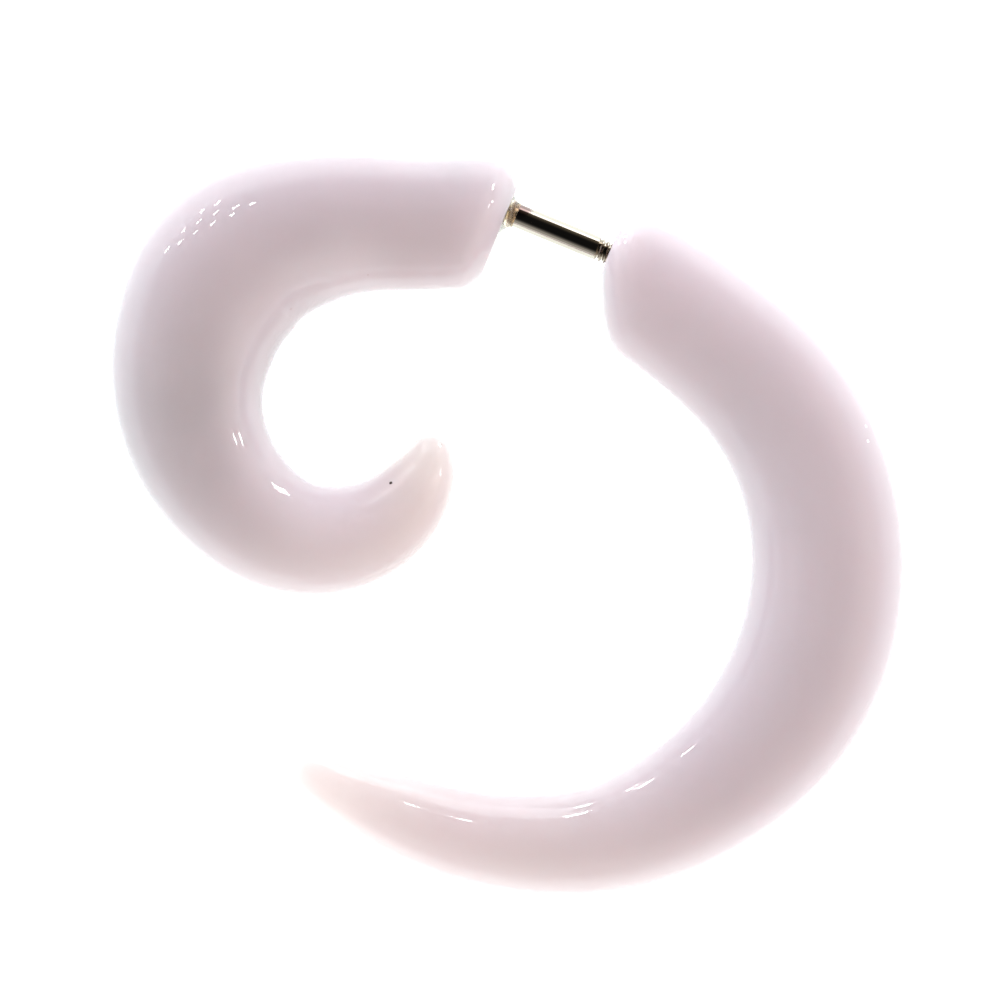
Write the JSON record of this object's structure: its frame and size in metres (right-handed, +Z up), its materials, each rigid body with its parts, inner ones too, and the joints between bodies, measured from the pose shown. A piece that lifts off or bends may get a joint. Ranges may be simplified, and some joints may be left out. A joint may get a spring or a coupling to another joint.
{
  "type": "fake ear taper",
  "caption": "Ear jewel that looks like one thick spiral through a stretched ear: a curled horn and a crescent horn joined by a thin steel post.",
  "frame": {"origin": "middle of the base, on the surface that the jewel lies on", "axes": "+X along the post, from the spiral horn to the crescent horn; +Z up, out of the side that the jewel lies on; +Y from the horns' open side to the post"},
  "size_m": [0.0428, 0.0344, 0.0087],
  "materials": {
    "horn_acrylic": "very pale milky pink, polished, greyer where it is thick",
    "post_steel": "bright turned steel",
    "clear_glue": "clear amber glue"
  },
  "bodies": {
    "front_half": {"spiral_horn": "horn_acrylic", "glue_bead": "clear_glue"},
    "post": {"pin": "post_steel"},
    "back_half": {"crescent_horn": "horn_acrylic"}
  },
  "joints": [
    {"name": "unscrew_turn", "type": "hinge", "parent": "front_half", "child": "post", "pos_m": [-0.00226, 0.0148, 0.00436], "axis": [1, 0, 0], "range_deg": [0, 3600]},
    {"name": "unscrew_travel", "type": "slide", "parent": "post", "child": "back_half", "axis": [1, 0, 0], "range_m": [0, 0.00251]}
  ],
  "couplings": [
    {"joint": "unscrew_travel", "follows": "unscrew_turn", "m_per_rad": 0.000039789}
  ]
}
